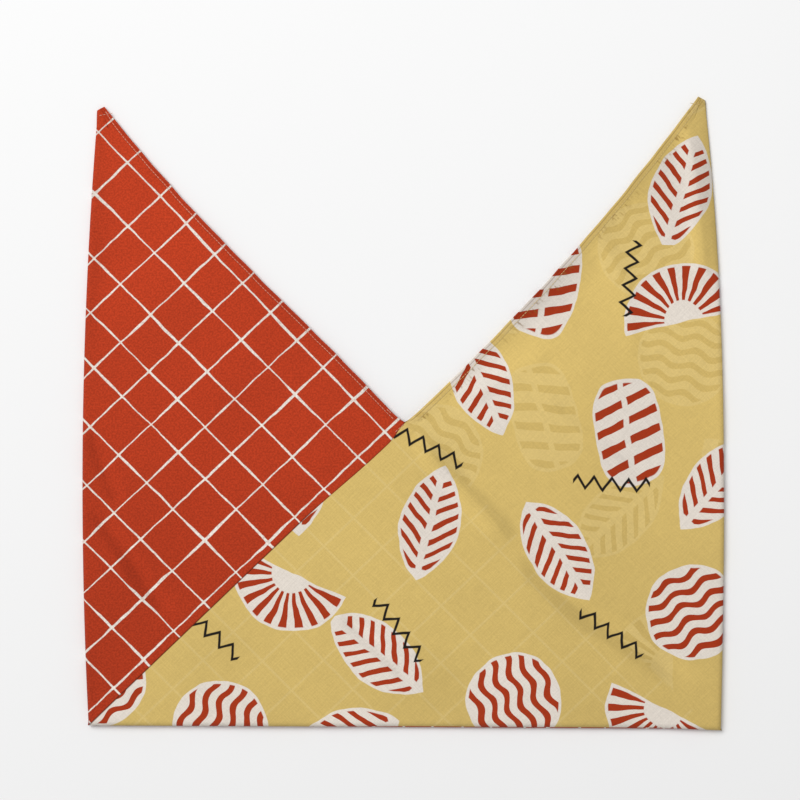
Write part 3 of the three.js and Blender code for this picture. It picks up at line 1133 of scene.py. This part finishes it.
def stitch_rows(name, lines, material, settings, tree):
    """One plain mesh of stitches along the given lines of points."""
    edges = []
    start = 0
    for line in lines:
        edges += [(index, index + 1) for index in range(start, start + len(line) - 1)]
        start += len(line)
    mesh = bpy.data.meshes.new(name)
    mesh.from_pydata(np.concatenate(lines).tolist(), edges, [])
    thing = new_object(name, mesh)
    modifier = thing.modifiers.new("stitches", "NODES")
    modifier.node_group = tree
    values = {
        "Pitch": settings.stitch_pitch, "Length": settings.stitch_pitch * STITCH_LENGTH_SHARE,
        "Width": settings.stitch_width, "Unevenness": STITCH_UNEVENNESS, "Seed": STITCH_SEED,
        "Material": material}
    for item in tree.interface.items_tree:
        if item.in_out == "INPUT" and item.name in values:
            modifier[item.identifier] = values[item.name]
    bpy.context.view_layer.update()
    evaluated = thing.evaluated_get(bpy.context.evaluated_depsgraph_get())
    thing.data = bpy.data.meshes.new_from_object(evaluated)
    thing.data.name = name
    thing.modifiers.clear()
    return thing


# Rows of stitches: their height over the cloth, and the two tacks at the notch in millimetres
HEM_STITCH_LIFT = 0.02 * MM
TIP_STITCH_LIFT = 0.35 * MM
TACK_LIFT = 0.5 * MM
STITCH_FLOOR_GAP = 0.1 * MM
TIP_HEM = 6.5 * MM
TACKS = (((-6.4, -14.2), (-1.7, -10.0)), ((-13.2, 1.9), (-11.4, 0.3)))


def on_surface(side, front, plan, settings, lift):
    """Points over the face of a layer, at each point of a plan."""
    z = cloth_height(plan[:, 0], plan[:, 1], side, front, settings)
    sign = 1 if front else -1
    return np.column_stack([plan, z + sign * (settings.thickness / 2 + lift)])


def straight(first, last, count):
    return first + (last - first) * np.linspace(0, 1, count)[:, None]


def hem_line(side, front, settings):
    """The row of stitches that holds one hem of an ear, from the notch to the tip."""
    edge = open_edge(side, front, row_levels())
    across = hem_of(side, settings)[1] * edge.ease
    rise, shift = edge_relief(edge, edge.along + across * edge.lean, across, settings)
    plan = edge.path + edge.inward * (across / edge.sine + shift)[:, None]
    line = on_surface(side, front, plan, settings, rise * edge.ease + HEM_STITCH_LIFT)
    line[:, 2] = np.maximum(line[:, 2], STITCH_FLOOR_GAP + settings.stitch_width / 2)
    return line[edge.on_ear][1:-2]


def tip_line(side, settings):
    """The short row of stitches across the blunt end of an ear."""
    start = shoulder(side)
    end = tip(side)
    down = np.array([-side * sin(TIP_SLANT), -cos(TIP_SLANT)]) * TIP_HEM
    first = start + down * 0.7 + (end - start) * 0.05
    last = end + down * 1.05 + (end - start) * 0.35
    return on_surface(side, True, straight(first, last, 8), settings, TIP_STITCH_LIFT)


def tack_lines(settings):
    """Small stitches that hold the red hem down where it meets the seam at the notch."""
    runs = [straight(*np.array(tack) * MM, 5) for tack in TACKS]
    return [on_surface(LEFT, True, run, settings, TACK_LIFT) for run in runs]


def settings_of(context):
    scene = context.scene
    return scene.azuma_cloth, scene.azuma_colours, scene.azuma_prints, scene.azuma_stage


def add_thickness(thing, thickness):
    solid = thing.modifiers.new("thickness", "SOLIDIFY")
    solid.thickness = thickness
    solid.offset = 0
    solid.use_even_offset = False
    solid.use_rim = True


def bend_at_ear(thing):
    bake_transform(thing)


def make_cloth(context, side, name, material, nodes):
    cloth, _, prints, _ = settings_of(context)
    points, quads, plain, edge_data = folded_cloth(side, cloth)
    thing, used = mesh_object(name, points, quads)
    map_layer(thing.data, "plan", plain[used])
    map_layer(thing.data, "grid", grid_coordinates(plain[used], prints.grid_pitch))
    for column, title in enumerate(EDGE_DATA):
        point_attribute(thing.data, title, edge_data[used, column])
    thing.data.materials.append(material)
    add_thickness(thing, cloth.thickness)
    bend_at_ear(thing)
    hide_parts(*nodes)


class AZUMA_OT_red_cloth(bpy.types.Operator):
    """Makes the red grid cloth, which folds round the left side and ends in the left ear"""

    bl_idname = "azuma.red_cloth"
    bl_label = "Red Cloth"

    def execute(self, context):
        cloth, colours, prints, _ = settings_of(context)
        material = red_grid_material(colours, prints, hem_of(LEFT, cloth)[1])
        make_cloth(
            context, LEFT, "red_cotton_cloth", material,
            ("red_cloth", "left_ear_cloth", "left_ear_front_hem", "left_ear_back_hem",
             "left_ear_tip", "front_notch_lap", "back_seam", "bottom_seam"))
        return {"FINISHED"}


class AZUMA_OT_yellow_cloth(bpy.types.Operator):
    """Makes the yellow print cloth, which folds round the right side and ends in the right ear"""

    bl_idname = "azuma.yellow_cloth"
    bl_label = "Yellow Cloth"

    def execute(self, context):
        cloth, colours, prints, _ = settings_of(context)
        material = yellow_print_material(colours, prints, hem_of(RIGHT, cloth)[1])
        make_cloth(
            context, RIGHT, "yellow_cotton_cloth", material,
            ("yellow_cloth", "right_ear_cloth", "right_ear_front_hem", "right_ear_back_hem",
             "right_ear_tip", "back_notch_lap", "front_seam"))
        return {"FINISHED"}


class AZUMA_OT_stitches(bpy.types.Operator):
    """Sews the hems and the ends of both ears"""

    bl_idname = "azuma.stitches"
    bl_label = "Stitches"

    def execute(self, context):
        cloth, _, _, _ = settings_of(context)
        tree = stitch_tree()
        red_thread = thread_material("red_thread", RED_THREAD)
        yellow_thread = thread_material("yellow_thread", YELLOW_THREAD)
        ears = (
            (LEFT, "left_ear_stitches", red_thread, "red_cotton", "red_cotton_cloth"),
            (RIGHT, "right_ear_stitches", yellow_thread, "yellow_cotton", "yellow_cotton_cloth"),
        )
        for side, name, thread, slot, sheet in ears:
            lines = [hem_line(side, front, cloth) for front in (True, False)]
            lines.append(tip_line(side, cloth))
            if side == LEFT:
                lines += tack_lines(cloth)
            rows = stitch_rows(name, lines, thread, cloth, tree)
            bend_at_ear(rows)
        return {"FINISHED"}


# The stage
CAMERA_PLACE = (-3.7 * MM, 10 * MM)
CAMERA_LEVEL = 6 * MM
SENSOR_WIDTH = 36
FLOOR_REACH = 6
# Painted shade of the floor: its fall across x and y, the span of its change, and how dark it gets
FLOOR_FALL = (-0.16, -0.10)
FLOOR_RAMP = (-0.08, 0.08)
FLOOR_SHADE = 0.95
LAMP_SIZE = 2.6
LAMP_PLACE = (-1.50, 1.45, 3.55)


def add_camera(scene, stage):
    """A camera straight above, far enough away for its lens to take in the picture's width."""
    data = bpy.data.cameras.new("camera")
    data.lens = stage.lens
    data.sensor_width = SENSOR_WIDTH
    data.clip_end = 50
    scene.camera = new_object("camera", data)
    distance = stage.picture_width * stage.lens / data.sensor_width
    scene.camera.location = (*CAMERA_PLACE, distance + CAMERA_LEVEL)


def add_floor(stage):
    """A white floor with painted shade that gets darker to the lower right."""
    material = new_material("paper_floor")
    place = place_in(material)
    x, y = place.split()
    floor_painted_shade = (x * FLOOR_FALL[0] + y * FLOOR_FALL[1]).ramp(*FLOOR_RAMP)
    colour = floor_painted_shade.mix(stage.floor, tinted(stage.floor, FLOOR_SHADE))
    finish(material, colour, 0.9, place.noise(300, 3), 0.02 * MM, 0)
    ends = (-FLOOR_REACH, FLOOR_REACH)
    mesh = bpy.data.meshes.new("floor")
    mesh.from_pydata([(x, y, 0) for x in ends for y in ends], [], [(0, 2, 3, 1)])
    mesh.materials.append(material)
    new_object("floor", mesh)


def add_light(scene, stage):
    """A large soft lamp at the upper left, and even light from all sides."""
    data = bpy.data.lights.new("window", "AREA")
    data.size = LAMP_SIZE
    data.energy = stage.lamp_power
    lamp = new_object("window", data)
    lamp.location = LAMP_PLACE
    lamp.rotation_euler = (-Vector(LAMP_PLACE)).to_track_quat("-Z", "Y").to_euler()
    scene.world = bpy.data.worlds.new("even_light")
    scene.world.use_nodes = True
    sky = scene.world.node_tree.nodes["Background"]
    sky.inputs["Color"].default_value = (1, 1, 1, 1)
    sky.inputs["Strength"].default_value = stage.sky


class AZUMA_OT_stage(bpy.types.Operator):
    """Sets up the camera, the floor and the lamps"""

    bl_idname = "azuma.stage"
    bl_label = "Stage"

    def execute(self, context):
        _, _, _, stage = settings_of(context)
        scene = context.scene
        add_camera(scene, stage)
        add_floor(stage)
        add_light(scene, stage)
        scene.view_settings.view_transform = "Standard"
        return {"FINISHED"}


class AZUMA_PT_panel(bpy.types.Panel):
    """Sizes, colours and steps of the azuma bag"""

    bl_idname = "AZUMA_PT_panel"
    bl_label = "Azuma Bag"
    bl_space_type = "VIEW_3D"
    bl_region_type = "UI"
    bl_category = "Azuma Bag"

    def draw(self, context):
        layout = self.layout
        for group in settings_of(context):
            box = layout.box()
            for name in group.bl_rna.properties.keys():
                if name not in ("rna_type", "name"):
                    box.prop(group, name)
        for operator in STEPS:
            layout.operator(operator.bl_idname)


GROUPS = {
    "azuma_cloth": AzumaClothSettings,
    "azuma_colours": AzumaColourSettings,
    "azuma_prints": AzumaPrintSettings,
    "azuma_stage": AzumaStageSettings,
}
STEPS = (AZUMA_OT_stage, AZUMA_OT_red_cloth, AZUMA_OT_yellow_cloth, AZUMA_OT_stitches)


def register():
    for name, group in GROUPS.items():
        bpy.utils.register_class(group)
        setattr(bpy.types.Scene, name, bpy.props.PointerProperty(type=group))
    for operator in STEPS:
        bpy.utils.register_class(operator)
    bpy.utils.register_class(AZUMA_PT_panel)


def unregister():
    bpy.utils.unregister_class(AZUMA_PT_panel)
    for operator in reversed(STEPS):
        bpy.utils.unregister_class(operator)
    for name, group in GROUPS.items():
        delattr(bpy.types.Scene, name)
        bpy.utils.unregister_class(group)


def main():
    register()
    bpy.ops.azuma.stage()
    bpy.ops.azuma.red_cloth()
    bpy.ops.azuma.yellow_cloth()
    bpy.ops.azuma.stitches()


if __name__ == "__main__":
    main()
